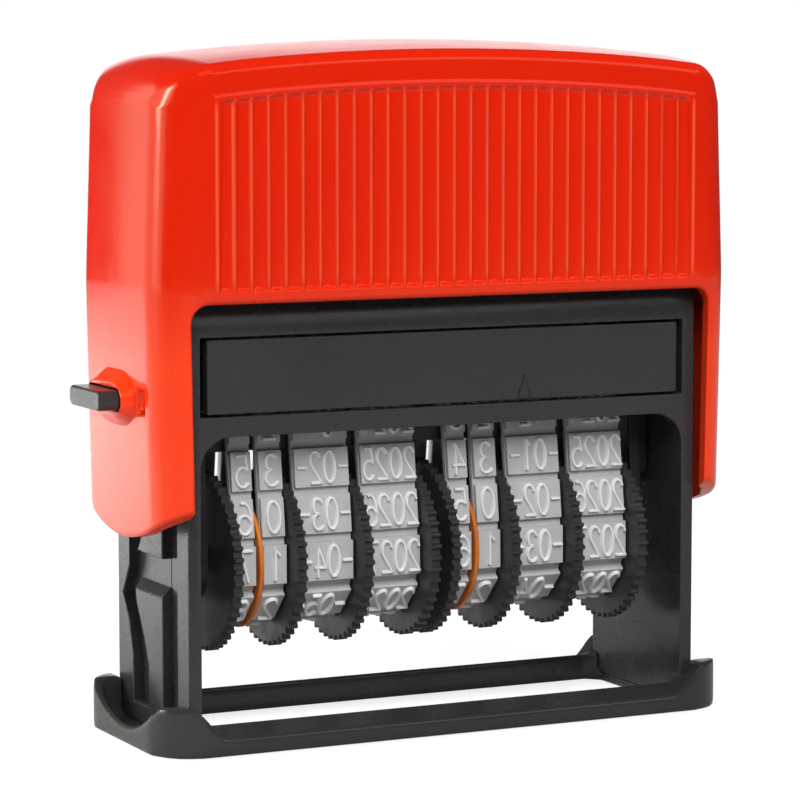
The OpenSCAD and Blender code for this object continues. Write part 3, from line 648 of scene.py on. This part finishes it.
edgeFinish = {
    # node: edge radius, body, slot, material
    "frame": (0.2 * mm, "stand", "body_black", blackPlastic),
    "lock_button": (0.3 * mm, "lock_button", "body_black", blackPlastic),
    "cartridge_tray": (0.2 * mm, "ink_cartridge", "body_black", blackPlastic),
    "yoke": (0.15 * mm, "cap", "inner_black", innerPlastic),
    "carriage_left_side": (0.12 * mm, "carriage", "inner_black", innerPlastic),
    "carriage_right_side": (0.12 * mm, "carriage", "inner_black", innerPlastic),
    "platen_bar": (0.2 * mm, "carriage", "inner_black", innerPlastic),
    "wheel_shaft": (0.2 * mm, "carriage", "steel", steel),
    "left_separator": (0.12 * mm, "carriage", "separator_orange", orangePlastic),
    "right_separator": (0.12 * mm, "carriage", "separator_orange", orangePlastic),
}
edgeRound = {"flat": 0.5, "sharp": 35, "steps": 3}  # angles in degrees
slotFloor = {  # how far out the slots end in the frame's walls, and how far apart the lock's notches are
    "from": 34.2 * mm, "to": 34.65 * mm, "reach": 3 * mm, "drop": 22 * mm,
}


def looseCopy(node):
    piece = bpy.data.objects.new(node + "_finish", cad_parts[node].data.copy())
    bpy.context.scene.collection.objects.link(piece)
    takeUp(piece)
    bpy.ops.mesh.customdata_custom_splitnormals_clear()
    mergePoints(piece)
    return piece


def onSlotFloor(point):
    return slotFloor["from"] < abs(point.x) < slotFloor["to"]


def besideNotch(point):
    heights = (collar["z"], collar["z"] - slotFloor["drop"])
    return any(abs(point.z - height) < slotFloor["reach"] for height in heights)


def keepsSharp(a, b):
    # the lock's notches step a hair deeper than the slots, too little for a rounding
    ends = [point for point in (a, b) if onSlotFloor(point)]
    return len(ends) == 2 or any(besideNotch(point) for point in ends)


def weighEdges(piece):
    pickSharp(piece, edgeRound["sharp"])
    weights = piece.data.attributes.new("bevel_weight_edge", "FLOAT", "EDGE")
    for edge in piece.data.edges:
        a, b = (piece.data.vertices[i].co for i in edge.vertices)
        weights.data[edge.index].value = 1 if edge.select and not keepsSharp(a, b) else 0


def roundedCopy(node, radius, steps=edgeRound["steps"]):
    piece = looseCopy(node)
    bpy.ops.object.mode_set(mode="EDIT")
    bpy.ops.mesh.dissolve_limited(angle_limit=math.radians(edgeRound["flat"]))
    bpy.ops.object.mode_set(mode="OBJECT")
    chosenBy = "ANGLE"
    if node == "frame":
        weighEdges(piece)
        chosenBy = "WEIGHT"
    useModifier(piece, "BEVEL", width=radius, segments=steps, limit_method=chosenBy,
                angle_limit=math.radians(edgeRound["sharp"]), use_clamp_overlap=False)
    smoothFinish(piece)
    return piece


for node, (radius, body, slot, material) in edgeFinish.items():
    settle(roundedCopy(node, radius), node + "_finish", body, slot, material, node)

footSoft = {"voxel": 0.34 * mm, "rounds": 9, "factor": 0.5, "smooth": 60}


def makeFoot():
    # the foot is one soft moulding: meshed evenly, then smoothed until its edges are round
    piece = looseCopy("foot")
    useModifier(piece, "REMESH", mode="VOXEL", voxel_size=footSoft["voxel"], use_smooth_shade=True)
    useModifier(piece, "SMOOTH", factor=footSoft["factor"], iterations=footSoft["rounds"])
    smoothFinish(piece, footSoft["smooth"])
    settle(piece, "foot_finish", "stand", "body_black", blackPlastic, "foot")


makeFoot()
print("stage: frame, foot and carriage finished")


# Date wheels and bands

groups = ("left", "right")
bandNames = ("day_units", "day_tens", "month", "year")
wheelEdge = {"radius": 0.1 * mm, "steps": 2}
for group in groups:
    for bandName in bandNames:
        wheel = group + "_" + bandName + "_wheel"
        disc = roundedCopy(wheel, wheelEdge["radius"], wheelEdge["steps"])
        settle(disc, wheel + "_finish", wheel, "wheel_black", wheelPlastic, wheel)
print("stage: wheels finished")

bandEdge = {"steps": 2, "sharp": 50, "smooth": 40}  # angles in degrees
bandLoop = {
    "drumR": 7.4 * mm, "cornerR": 2.1 * mm, "platenHalf": 3.2 * mm, "shaftZ": 22.1 * mm,
    "cornerZ": 39.0 * mm, "thick": 0.9 * mm, "steps": 150, "edgeR": 0.08 * mm,
}
printBlock = {
    "count": 12, "length": 4.9 * mm, "height": 0.6 * mm, "inset": 0.08 * mm, "root": 0.5 * mm,
    "edgeR": 0.09 * mm, "slices": 6, "bentRows": (1, 11),  # the rows that lie round the platen's corners
}
figure = {
    "height": 3.9 * mm, "rise": 0.42 * mm, "topWidth": 0.27 * mm, "footWidth": 0.5 * mm,
    "arcStep": 20, "arcLeast": 3, "sunk": 0.05 * mm, "gap": 0.42 * mm, "hyphen": 0.88, "sharp": 40,
    "shoulder": 0.82, "crest": 0.6, "closedGap": 1e-6,
}


def monthsFrom(first):
    return ["%02d" % ((first - 1 + i) % 12 + 1) for i in range(printBlock["count"])]


def yearsFrom(first):
    return [str(first + i) for i in range(printBlock["count"])]


bandText = {  # what stands on each band from its top row down the front, and how wide a figure is
    "left_day_units": ([*"3456789012", "", ""], 1.75 * mm),
    "left_day_tens": ([*"123012301230"], 1.75 * mm),
    "left_month": (monthsFrom(12), 1.5 * mm),
    "left_year": (yearsFrom(2023), 1.5 * mm),
    "right_day_units": ([*"2345678901", "", ""], 1.75 * mm),
    "right_day_tens": ([*"123012301230"], 1.75 * mm),
    "right_month": (monthsFrom(11), 1.5 * mm),
    "right_year": (yearsFrom(2023), 1.5 * mm),
}
# In a box of 1 by 1: corners as (x, y), arcs as (x, y, half width, half height, from, to)
figureStrokes = {
    "0": [[(0.5, 0.5, 0.5, 0.5, 90, 450)]],
    "1": [[(0.2, 0.8), (0.55, 1), (0.55, 0)]],
    "2": [[(0.5, 0.72, 0.46, 0.28, 165, -30), (0.04, 0), (1, 0)]],
    "3": [[(0.48, 0.75, 0.42, 0.25, 155, -90), (0.46, 0.25, 0.5, 0.25, 90, -155)]],
    "4": [[(0.72, 0), (0.72, 1), (0.02, 0.3), (1, 0.3)]],
    "5": [[(0.9, 1), (0.2, 1), (0.1, 0.54), (0.47, 0.31, 0.5, 0.31, 130, -150)]],
    "6": [[(0.55, 0.5, 0.55, 0.5, 70, 180), (0, 0.3)], [(0.5, 0.3, 0.5, 0.3, 180, 540)]],
    "7": [[(0.05, 1), (0.95, 1), (0.4, 0)]],
    "8": [[(0.5, 0.76, 0.42, 0.24, 90, 450)], [(0.5, 0.27, 0.5, 0.27, 90, 450)]],
    "9": [[(0.45, 0.5, 0.55, 0.5, -110, 0), (1, 0.7)], [(0.5, 0.7, 0.5, 0.3, 0, 360)]],
    "-": [[(0, 0.5), (1, 0.5)]],
}


def loopSizes():
    drum = bandLoop["drumR"]
    corner = bandLoop["cornerR"]
    rise = bandLoop["cornerZ"] - bandLoop["shaftZ"]
    far = math.hypot(bandLoop["platenHalf"], rise)
    lean = math.atan2(rise, bandLoop["platenHalf"]) - math.acos((drum - corner) / far)
    straight = math.sqrt(far ** 2 - (drum - corner) ** 2)
    parts = (bandLoop["platenHalf"], corner * (math.pi / 2 - lean), straight, drum * (math.pi / 2 + lean))
    return lean, parts


loopLean, loopParts = loopSizes()
loopLength = 2 * sum(loopParts)


def loopPlace(along):
    # place and outward direction at a length along the loop, from the middle of its top down the front
    side = -1
    along = along % loopLength
    if along > loopLength / 2:
        along = loopLength - along
        side = 1
    corner = bandLoop["cornerR"]
    drum = bandLoop["drumR"]
    past = [along - sum(loopParts[:i]) for i in range(len(loopParts))]
    if past[1] < 0:  # flat on the platen
        turn = math.pi / 2
        y = along
        z = bandLoop["cornerZ"] + corner
    elif past[2] < 0:  # round the platen's corner
        turn = math.pi / 2 - past[1] / corner
        y = bandLoop["platenHalf"] + corner * math.cos(turn)
        z = bandLoop["cornerZ"] + corner * math.sin(turn)
    elif past[3] < 0:  # straight to the drum
        turn = loopLean
        y = bandLoop["platenHalf"] + corner * math.cos(turn) + past[2] * math.sin(turn)
        z = bandLoop["cornerZ"] + corner * math.sin(turn) - past[2] * math.cos(turn)
    else:  # round the drum
        turn = loopLean - past[3] / drum
        y = drum * math.cos(turn)
        z = bandLoop["shaftZ"] + drum * math.sin(turn)
    return Vector((0, side * y, z)), Vector((0, side * math.cos(turn), math.sin(turn)))


def layOnBand(piece, x, row):
    # a flat piece, drawn in X and Y with Z up, is laid face out on a row, as mirror writing
    pitch = loopLength / printBlock["count"]
    middle, out = loopPlace(row * pitch)
    up = Vector((0, -out.z, out.y))
    for point in piece.data.vertices:
        flat = point.co.copy()
        if row in printBlock["bentRows"]:
            base, normal = loopPlace(row * pitch - flat.y)
            point.co = base + normal * flat.z
        else:
            point.co = middle + up * -flat.y + out * flat.z
        point.co.x = x - flat.x


def copyOf(piece, name):
    twin = bpy.data.objects.new(name, piece.data.copy())
    bpy.context.scene.collection.objects.link(twin)
    return twin


def joinAll(parts):
    bpy.ops.object.select_all(action="DESELECT")
    for part in parts:
        part.select_set(True)
    bpy.context.view_layer.objects.active = parts[0]
    bpy.ops.object.join()
    return parts[0]


def faceOut(piece):
    takeUp(piece)
    bpy.ops.object.mode_set(mode="EDIT")
    bpy.ops.mesh.select_all(action="SELECT")
    bpy.ops.mesh.normals_make_consistent(inside=False)
    bpy.ops.object.mode_set(mode="OBJECT")


def strokePoints(stroke):
    points = []
    for item in stroke:
        if len(item) == 2:
            points.append(item)
            continue
        x, y, halfWide, halfHigh, start, end = item
        steps = max(figure["arcLeast"], round(abs(end - start) / figure["arcStep"]))
        for i in range(steps + 1):
            a = math.radians(start + (end - start) * i / steps)
            points.append((x + halfWide * math.cos(a), y + halfHigh * math.sin(a)))
    return points


def strokeRuns(points):
    # a stroke split where it turns sharply, with the ends there drawn out a little
    corners = [Vector(point) for point in points]
    runs = [corners[:1]]
    for before, here, after in zip(corners, corners[1:], corners[2:]):
        if (here - before).angle(after - here) < math.radians(figure["sharp"]):
            runs[-1].append(here)
            continue
        reach = figure["topWidth"] / 2
        runs[-1].append(here + (here - before).normalized() * reach)
        runs.append([here - (after - here).normalized() * reach])
    runs[-1].append(corners[-1])
    return runs


def figureSection():
    # the section of a stroke: narrow on top, wide at its foot
    line = bpy.data.curves.new("figureSection", "CURVE")
    line.dimensions = "2D"
    spline = line.splines.new("POLY")
    top = figure["topWidth"] / 2
    foot = figure["footWidth"] / 2
    rise = figure["rise"]
    sunk = figure["sunk"]
    shoulder = rise * figure["shoulder"]
    crest = top * figure["crest"]
    corners = ((-foot, -sunk), (foot, -sunk), (top, shoulder),
               (crest, rise), (-crest, rise), (-top, shoulder))
    spline.points.add(len(corners) - 1)
    for point, (x, y) in zip(spline.points, corners):
        point.co = (x, y, 0, 1)
    spline.use_cyclic_u = True
    section = bpy.data.objects.new("figureSection", line)
    bpy.context.scene.collection.objects.link(section)
    return section


def figureRow(text, wide, section):
    # one row of figures in X and Y, in the middle, each stroke with the section
    line = bpy.data.curves.new("figureRow", "CURVE")
    line.dimensions = "2D"
    line.fill_mode = "NONE"
    line.bevel_mode = "OBJECT"
    line.bevel_object = section
    line.use_fill_caps = True
    widths = [wide * figure["hyphen"] if sign == "-" else wide for sign in text]
    left = -(sum(widths) + figure["gap"] * (len(text) - 1)) / 2
    for sign, own in zip(text, widths):
        for stroke in figureStrokes[sign]:
            points = [(left + x * own, (y - 0.5) * figure["height"]) for x, y in strokePoints(stroke)]
            ring = math.dist(points[0], points[-1]) < figure["closedGap"]
            for run in [points[:-1]] if ring else strokeRuns(points):
                spline = line.splines.new("POLY")
                spline.points.add(len(run) - 1)
                for point, (x, y) in zip(spline.points, run):
                    point.co = (x, y, 0, 1)
                spline.use_cyclic_u = ring
        left += own + figure["gap"]
    row = bpy.data.objects.new("figureRow", line)
    bpy.context.scene.collection.objects.link(row)
    takeUp(row)
    bpy.ops.object.convert(target="MESH")
    return bpy.context.object


def easeEdges(piece, radius):
    useModifier(piece, "BEVEL", width=radius, segments=bandEdge["steps"], limit_method="ANGLE",
                angle_limit=math.radians(bandEdge["sharp"]))


def beltRing(width):
    bpy.ops.object.select_all(action="DESELECT")
    bpy.ops.mesh.primitive_cylinder_add(vertices=bandLoop["steps"], radius=1, depth=width,
                                        end_fill_type="NOTHING", rotation=(0, math.pi / 2, 0))
    ring = bpy.context.object
    bpy.ops.object.transform_apply(location=True, rotation=True, scale=True)
    for point in ring.data.vertices:
        turn = math.atan2(-point.co.y, point.co.z) / (2 * math.pi)
        base = loopPlace(turn * loopLength)[0]
        point.co.y = base.y
        point.co.z = base.z
    faceOut(ring)
    useModifier(ring, "SOLIDIFY", thickness=bandLoop["thick"], offset=-1, use_even_offset=True)
    easeEdges(ring, bandLoop["edgeR"])
    return ring


def blockPattern(width):
    half = width / 2 - printBlock["inset"]
    length = printBlock["length"]
    pattern = addBlock("printBlock", (-half, -length / 2, -printBlock["root"]),
                       (half, length / 2, printBlock["height"]))
    slices = printBlock["slices"]
    sliceAt(pattern, [length * (i / slices - 0.5) for i in range(1, slices)], (0, 1, 0))
    easeEdges(pattern, printBlock["edgeR"])
    return pattern


def makeBand(name, section):
    node = name + "_band"
    low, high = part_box(node)
    width = high.x - low.x
    middle = (high.x + low.x) / 2
    labels, wide = bandText[name]
    ring = beltRing(width)
    for point in ring.data.vertices:
        point.co.x += middle
    pattern = blockPattern(width)
    parts = [ring]
    figures = []
    for row, label in enumerate(labels):
        block = copyOf(pattern, "block")
        layOnBand(block, middle, row)
        parts.append(block)
        if not label:
            continue
        text = figureRow("-" + label + "-" if "month" in name else label, wide, section)
        for point in text.data.vertices:
            point.co.z += printBlock["height"]
        layOnBand(text, middle, row)
        figures.append(text)
    bpy.data.objects.remove(pattern)
    band = joinAll(parts)
    faceOut(band)
    smoothFinish(band, bandEdge["smooth"])
    settle(band, node + "_finish", "carriage", "band_rubber", bandRubber, node)
    raised = joinAll(figures)
    faceOut(raised)
    smoothFinish(raised, bandEdge["smooth"])
    settle(raised, name + "_figures", "carriage", "band_rubber", figureRubber)


def makeBands():
    section = figureSection()
    for group in groups:
        for bandName in bandNames:
            makeBand(group + "_" + bandName, section)
    bpy.data.objects.remove(section)


makeBands()
print("stage: bands and figures made")


# Return springs: round wire wound up from the frame's wells to the yoke

spring = {
    "meanR": 4 * mm, "wireR": 0.45 * mm, "turns": 7, "wireSides": 14, "stepsPerTurn": 40,
    "seamGap": 0.01 * mm, "smooth": 50, "atLimit": 0.266,
}


def makeSpring(node):
    low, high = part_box(node)
    axisX = (low.x + high.x) / 2
    climb = high.z - low.z - 2 * spring["wireR"]
    bpy.ops.object.select_all(action="DESELECT")
    bpy.ops.mesh.primitive_circle_add(vertices=spring["wireSides"], radius=spring["wireR"],
                                      rotation=(math.pi / 2, 0, 0),
                                      location=(spring["meanR"], 0, low.z + spring["wireR"]))
    coil = bpy.context.object
    bpy.ops.object.transform_apply(location=True, rotation=True, scale=True)
    steps = spring["stepsPerTurn"]
    useModifier(coil, "SCREW", axis="Z", angle=2 * math.pi, screw_offset=climb / spring["turns"],
                iterations=spring["turns"], steps=steps, render_steps=steps,
                use_merge_vertices=True, merge_threshold=spring["seamGap"])
    for point in coil.data.vertices:
        point.co.x += axisX
    takeUp(coil)
    bpy.ops.object.mode_set(mode="EDIT")
    bpy.ops.mesh.select_all(action="SELECT")
    bpy.ops.mesh.fill_holes(sides=0)
    bpy.ops.mesh.normals_make_consistent(inside=False)
    bpy.ops.object.mode_set(mode="OBJECT")
    smoothFinish(coil, spring["smooth"])
    settle(coil, node + "_wire", "stand", "steel", steel, node)
    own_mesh(coil)


for node in ("left_return_spring", "right_return_spring"):
    makeSpring(node)


# Ink pad: a felt block with soft edges

pad = {
    "edgeR": 0.5 * mm, "edgeSteps": 3, "hollow": 0.12 * mm, "cutsAlong": 24, "cutsAcross": 8, "smooth": 50,
}


def makePad():
    low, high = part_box("ink_pad")
    block = addBlock("padFelt", low, high)
    useModifier(block, "BEVEL", width=pad["edgeR"], segments=pad["edgeSteps"], limit_method="NONE")
    long = high.x - low.x
    wide = high.y - low.y
    sliceAt(block, [low.x + long * i / pad["cutsAlong"] for i in range(1, pad["cutsAlong"])], (1, 0, 0))
    sliceAt(block, [low.y + wide * i / pad["cutsAcross"] for i in range(1, pad["cutsAcross"])], (0, 1, 0))
    for point in block.data.vertices:  # the pad's face is a little hollow from use
        across = math.cos(math.pi * (point.co.y - (low.y + high.y) / 2) / wide)
        if point.co.z < (low.z + high.z) / 2:
            point.co.z += pad["hollow"] * across
    smoothFinish(block, pad["smooth"])
    settle(block, "ink_pad_felt", "ink_cartridge", "ink_felt", felt, "ink_pad")


makePad()
print("stage: springs and pad made")


# Cartridge mark: a small raised triangle on the cartridge's face

mark = {
    "x": 10.6 * mm, "low": 41.9 * mm, "wide": 1.9 * mm, "high": 3.0 * mm, "line": 0.14 * mm, "lineSteps": 2,
    "smooth": 40,
}


def makeMark():
    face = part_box("cartridge_tray")[0].y
    corners = ((-mark["wide"] / 2, 0), (mark["wide"] / 2, 0), (0, mark["high"]))
    line = bpy.data.curves.new("triangleMark", "CURVE")
    line.dimensions = "3D"
    line.bevel_depth = mark["line"]
    line.bevel_resolution = mark["lineSteps"]
    spline = line.splines.new("POLY")
    spline.points.add(len(corners) - 1)
    for point, (x, z) in zip(spline.points, corners):
        point.co = (mark["x"] + x, face, mark["low"] + z, 1)
    spline.use_cyclic_u = True
    outline = bpy.data.objects.new("triangleMark", line)
    bpy.context.scene.collection.objects.link(outline)
    takeUp(outline)
    bpy.ops.object.convert(target="MESH")
    outline = bpy.context.object
    smoothFinish(outline, mark["smooth"])
    settle(outline, "cartridge_mark", "ink_cartridge", "body_black", blackPlastic)


makeMark()
print("stage: cartridge marked")


# Floor, lights and camera

stage = {
    "floorR": 0.70, "floorSides": 96, "floorZ": -0.05 * mm, "floorGrey": 0.45,
    "nearGlow": 0.72, "nearGrey": 0.32, "nearR": 0.10, "farR": 0.22,
}
view = {"place": (-0.1905, -0.3871, 0.0860), "down": 5.953, "left": 26.054, "lens": 151.75, "sensor": 36}
white = (1, 1, 1)
warm = (1, 0.94, 0.74)
lamps = {  # place, aimed at, size, watts, colour, seen in reflections, lights matt surfaces
    "keyPanel": ((-0.12, -0.60, 0.58), (0, 0, 0.04), (0.5, 0.5), 8.0, white, False, True),
    "leftPanel": ((-0.549, 0.530, 0.17), (0, 0, 0.05), (0.6, 0.5), 1.2, warm, True, True),
    "sidePanel": ((-0.746, 0.145, 0.20), (0, 0, 0.05), (0.38, 0.5), 1.3, warm, True, True),
    "spotLamp": ((-0.715, 0.215, 0.25), (0, 0, 0.07), (0.15, 0.30), 2.4, white, True, False),
    "rightBox": ((0.417, -0.545, 0.37), (0, 0, 0.07), (0.5, 0.25), 0.55, white, True, False),
    "rightFill": ((0.62, 0.10, 0.40), (0, 0, 0.04), (0.5, 0.5), 1.6, white, False, True),
    "floorPanel": ((-0.30, 0.50, 0.26), (-0.30, 0.50, 0), (0.4, 0.4), 3.4, white, False, True),
    "floorStrip": ((-0.16, 0.23, 0.12), (-0.16, 0.23, 0), (0.12, 0.32), 1.3, white, False, True),
}
sky = {"bright": 1.15, "dim": 0.06, "towards": (0.437, 0.894, 0.10), "from": 0.93, "to": 0.985}


def makeFloor():
    bpy.ops.object.select_all(action="DESELECT")
    bpy.ops.mesh.primitive_circle_add(vertices=stage["floorSides"], radius=stage["floorR"],
                                      fill_type="NGON", location=(0, 0, stage["floorZ"]))
    floor = bpy.context.object
    floor.name = "floor"
    material = bpy.data.materials.new("floor_white")
    material.use_nodes = True
    tree = material.node_tree
    tree.nodes.clear()
    out = tree.nodes.new("ShaderNodeOutputMaterial")
    paper = tree.nodes.new("ShaderNodeBsdfDiffuse")
    paper.inputs["Color"].default_value = (stage["floorGrey"],) * 3 + (1,)
    nearPaper = tree.nodes.new("ShaderNodeBsdfDiffuse")
    nearPaper.inputs["Color"].default_value = (stage["nearGrey"],) * 3 + (1,)
    nearGlow = tree.nodes.new("ShaderNodeEmission")
    nearGlow.inputs["Strength"].default_value = stage["nearGlow"]
    near = tree.nodes.new("ShaderNodeAddShader")
    tree.links.new(nearPaper.outputs[0], near.inputs[0])
    tree.links.new(nearGlow.outputs[0], near.inputs[1])
    far = tree.nodes.new("ShaderNodeEmission")
    place = tree.nodes.new("ShaderNodeTexCoord")
    length = tree.nodes.new("ShaderNodeVectorMath")
    length.operation = "LENGTH"
    tree.links.new(place.outputs["Object"], length.inputs[0])
    fade = spread(tree, length.outputs["Value"], 0, 1, stage["nearR"], stage["farR"], "SMOOTHSTEP")
    seen = tree.nodes.new("ShaderNodeMixShader")
    tree.links.new(fade, seen.inputs["Fac"])
    tree.links.new(near.outputs[0], seen.inputs[1])
    tree.links.new(far.outputs[0], seen.inputs[2])
    mix = tree.nodes.new("ShaderNodeMixShader")
    path = tree.nodes.new("ShaderNodeLightPath")
    tree.links.new(path.outputs["Is Camera Ray"], mix.inputs["Fac"])
    tree.links.new(paper.outputs[0], mix.inputs[1])
    tree.links.new(seen.outputs[0], mix.inputs[2])
    tree.links.new(mix.outputs[0], out.inputs["Surface"])
    floor.data.materials.append(material)


def makeWorld():
    world = bpy.data.worlds.new("studio")
    bpy.context.scene.world = world
    world.use_nodes = True
    tree = world.node_tree
    tree.nodes.clear()
    out = tree.nodes.new("ShaderNodeOutputWorld")
    seen = tree.nodes.new("ShaderNodeBackground")
    around = tree.nodes.new("ShaderNodeBackground")
    mix = tree.nodes.new("ShaderNodeMixShader")
    path = tree.nodes.new("ShaderNodeLightPath")
    coords = tree.nodes.new("ShaderNodeTexCoord")
    dot = tree.nodes.new("ShaderNodeVectorMath")
    dot.operation = "DOT_PRODUCT"
    dot.inputs[1].default_value = sky["towards"]
    tree.links.new(coords.outputs["Generated"], dot.inputs[0])
    facing = dot.outputs["Value"]
    glow = spread(tree, facing, sky["dim"], sky["bright"], sky["from"], sky["to"], "SMOOTHSTEP")
    tree.links.new(glow, around.inputs["Strength"])
    tree.links.new(path.outputs["Is Camera Ray"], mix.inputs["Fac"])
    tree.links.new(around.outputs[0], mix.inputs[1])
    tree.links.new(seen.outputs[0], mix.inputs[2])
    seen.inputs["Color"].default_value = (1, 1, 1, 1)
    around.inputs["Color"].default_value = (1, 1, 1, 1)
    tree.links.new(mix.outputs[0], out.inputs["Surface"])


def addLamp(name, place, aim, size, watts, colour, mirrored, lights):
    lamp = bpy.data.lights.new(name, "AREA")
    lamp.shape = "RECTANGLE"
    lamp.size = size[0]
    lamp.size_y = size[1]
    lamp.energy = watts
    lamp.color = colour
    holder = bpy.data.objects.new(name, lamp)
    bpy.context.scene.collection.objects.link(holder)
    holder.location = place
    holder.rotation_euler = (Vector(aim) - Vector(place)).to_track_quat("-Z", "Y").to_euler()
    holder.visible_camera = False
    holder.visible_glossy = mirrored
    holder.visible_diffuse = lights


def addCamera():
    camera = bpy.data.cameras.new("camera")
    camera.lens = view["lens"]
    camera.sensor_width = view["sensor"]
    holder = bpy.data.objects.new("camera", camera)
    bpy.context.scene.collection.objects.link(holder)
    holder.location = view["place"]
    holder.rotation_euler = (math.radians(90 - view["down"]), 0, math.radians(-view["left"]))
    bpy.context.scene.camera = holder


makeFloor()
makeWorld()
for name, setting in lamps.items():
    addLamp(name, *setting)
addCamera()
bpy.context.scene.view_settings.view_transform = "Standard"
print("stage: floor, lights and camera set")

bpy.context.view_layer.update()
